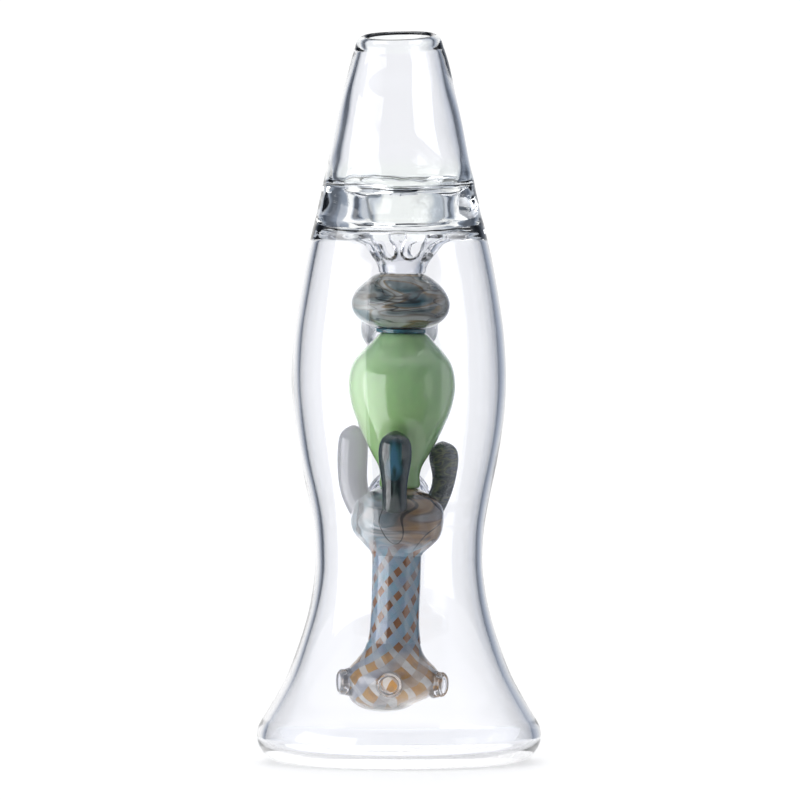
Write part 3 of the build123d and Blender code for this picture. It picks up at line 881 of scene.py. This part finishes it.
# ---- Ports -------------------------------------------------------------------------------
# Five short clear tubes fused through the diffuser's wall, with fire-polished mouths.
port_outline = smooth_run([
    (port_bore, port_start), (port_bore, 12.5), (port_bore + 0.1, 14.2),
    (port_bore + 0.5, port_end - 0.1), (port_half - 0.8, port_end),
    (port_half - 0.15, port_end - 0.6), (port_half, 13.6),
    (port_half + 0.4, 12.2), (port_half, 11.4), (port_half - 0.8, port_start),
], 5)
for number in range(port_count):
    port = turned(f"port_glass_{number + 1}", port_outline + port_outline[:1], 64)
    turn = math.radians(port_turn + number * 360 / port_count)
    edit(port)
    bpy.ops.transform.rotate(value=-math.pi / 2, orient_axis="Y", center_override=(0, 0, 0))
    bpy.ops.transform.rotate(value=-turn, orient_axis="Z", center_override=(0, 0, 0))
    bpy.ops.transform.translate(value=(0, 0, port_level * mm))
    bpy.ops.object.mode_set(mode="OBJECT")
    finish_with(leaned(port), clear_glass, "clear_glass", f"port_{number + 1}")

# ---- Inlet -------------------------------------------------------------------------------
# The clear inlet behind: a bridge tube from the collar to the wall, a weld bead where it
# passes through, and a tube that turns up to the socket for a bowl.
inlet_level = 69.5
bridge_bore = 3.2
seal_inside, seal_outside = (corner.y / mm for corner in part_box("wall_seal"))
bridge_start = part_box("bridge_tube")[0].y / mm
tilt = math.radians(25)


def laid_back(piece):
    """Lays a piece that was turned upright down, so that it points straight to the back."""
    edit(piece)
    bpy.ops.transform.rotate(value=math.pi / 2, orient_axis="X", center_override=(0, 0, 0))
    bpy.ops.transform.translate(value=(0, 0, inlet_level * mm))
    bpy.ops.object.mode_set(mode="OBJECT")
    return piece


bridge = turned("bridge_glass", [
    (bridge_bore, bridge_start + 0.6), (5.0, bridge_start + 0.6), (5.0, seal_inside - gap),
    (bridge_bore, seal_inside - gap), (bridge_bore, bridge_start + 0.6),
], 64)
finish_with(laid_back(bridge), clear_glass, "clear_glass", "bridge_tube")

seal_outline = smooth_run([
    (bridge_bore, seal_inside), (5.6, seal_inside), (6.6, seal_inside + 0.9),
    (7.6, seal_inside + 2.2),
    (9.6, seal_outside - 5.2), (10.4, seal_outside - 3.0), (9.4, seal_outside - 1.2),
    (7.4, seal_outside - 0.4), (6.25, seal_outside), (4.0, seal_outside),
], 5)
seal = turned("seal_glass", seal_outline + seal_outline[:1], 96)
finish_with(laid_back(seal), clear_glass, "clear_glass", "wall_seal")

# The elbow is swept round its bend, then drawn on up to the socket.
tube_radius = 6.25
tube_bore = 4.0
elbow_radius = 10.5
riser_length = 38.0
bpy.ops.object.select_all(action="DESELECT")
bpy.ops.mesh.primitive_circle_add(
    vertices=64, radius=tube_radius * mm, fill_type="NGON", rotation=(math.pi / 2, 0, 0),
    location=(0, (seal_outside + gap) * mm, inlet_level * mm),
)
inlet = bpy.context.object
inlet.name = "inlet_glass"
bpy.ops.object.transform_apply()
edit(inlet)
bpy.ops.mesh.select_mode(type="FACE")
bpy.ops.mesh.select_all(action="SELECT")
bpy.ops.mesh.inset(thickness=(tube_radius - tube_bore) * mm)
bpy.ops.mesh.delete(type="FACE")
bpy.ops.mesh.select_all(action="SELECT")
bpy.ops.mesh.spin(
    steps=20, angle=math.pi / 2 - tilt, axis=(-1, 0, 0),
    center=(0, (seal_outside + gap) * mm, (inlet_level + elbow_radius) * mm),
)
riser_rise = Vector((0, math.sin(tilt), math.cos(tilt))) * ((riser_length - 2 * gap) * mm)
bpy.ops.mesh.extrude_region_move(TRANSFORM_OT_translate={"value": riser_rise})
bpy.ops.mesh.select_all(action="SELECT")
bpy.ops.mesh.normals_make_consistent(inside=False)
smooth_off(inlet, 40)
finish_with(inlet, clear_glass, "clear_glass", "inlet_tube")

# The socket is blown out at the end of the riser; its bore is ground to a slow taper.
elbow_end = Vector((0, seal_outside + elbow_radius * math.cos(tilt),
                    inlet_level + elbow_radius - elbow_radius * math.sin(tilt)))
socket_foot = elbow_end + Vector((0, math.sin(tilt), math.cos(tilt))) * riser_length
ground_glass, ground_shader, ground_place = new_material("ground_glass")
from_foot_back = ground_place.part("Y") * 1000 - socket_foot.y
from_foot_up = ground_place.part("Z") * 1000 - socket_foot.z
along = from_foot_back * math.sin(tilt) + from_foot_up * math.cos(tilt)
across = from_foot_back * math.cos(tilt) - from_foot_up * math.sin(tilt)
ground_side = ground_place.part("X") * 1000
reach = across.maths("SQRT", across * across + ground_side * ground_side)
ground_radius = 9.6
ground_start = 4.8
ground = 1 - reach.between(ground_radius, ground_radius + 0.3)
ground = ground * along.between(ground_start, ground_start + 0.4)
grit = noise(ground_place, 0.25, 2.0)
joined(ground_shader, mixed(ground, (0.962, 0.966, 0.985), (0.93, 0.935, 0.95)), grit, 0.01)
glassy(ground_shader, 0.0, 1.0, 0.0)
rough = ground * (0.30 + grit * 0.15)
rough.tree.links.new(rough.socket, ground_shader.inputs["Roughness"])
socket_outline = smooth_run([
    (6.25, 0), (7.0, 1.4), (9.2, 3.8), (11.4, 6.3), (12.2, 8.6), (12.2, 14.0), (12.2, 18.6),
    (11.6, 19.8), (10.8, 20.0), (9.9, 19.9), (9.4, 19.4), (9.2, 17.0), (8.8, 9.0), (8.6, 5.4),
    (7.2, 3.9), (4.9, 1.8), (4.0, 0),
], 5)
socket = turned("socket_glass", socket_outline + socket_outline[:1], 96)
edit(socket)
bpy.ops.transform.rotate(value=tilt, orient_axis="X", center_override=(0, 0, 0))
bpy.ops.transform.translate(value=socket_foot * mm)
bpy.ops.object.mode_set(mode="OBJECT")
finish_with(socket, ground_glass, "ground_glass", "inlet_socket")
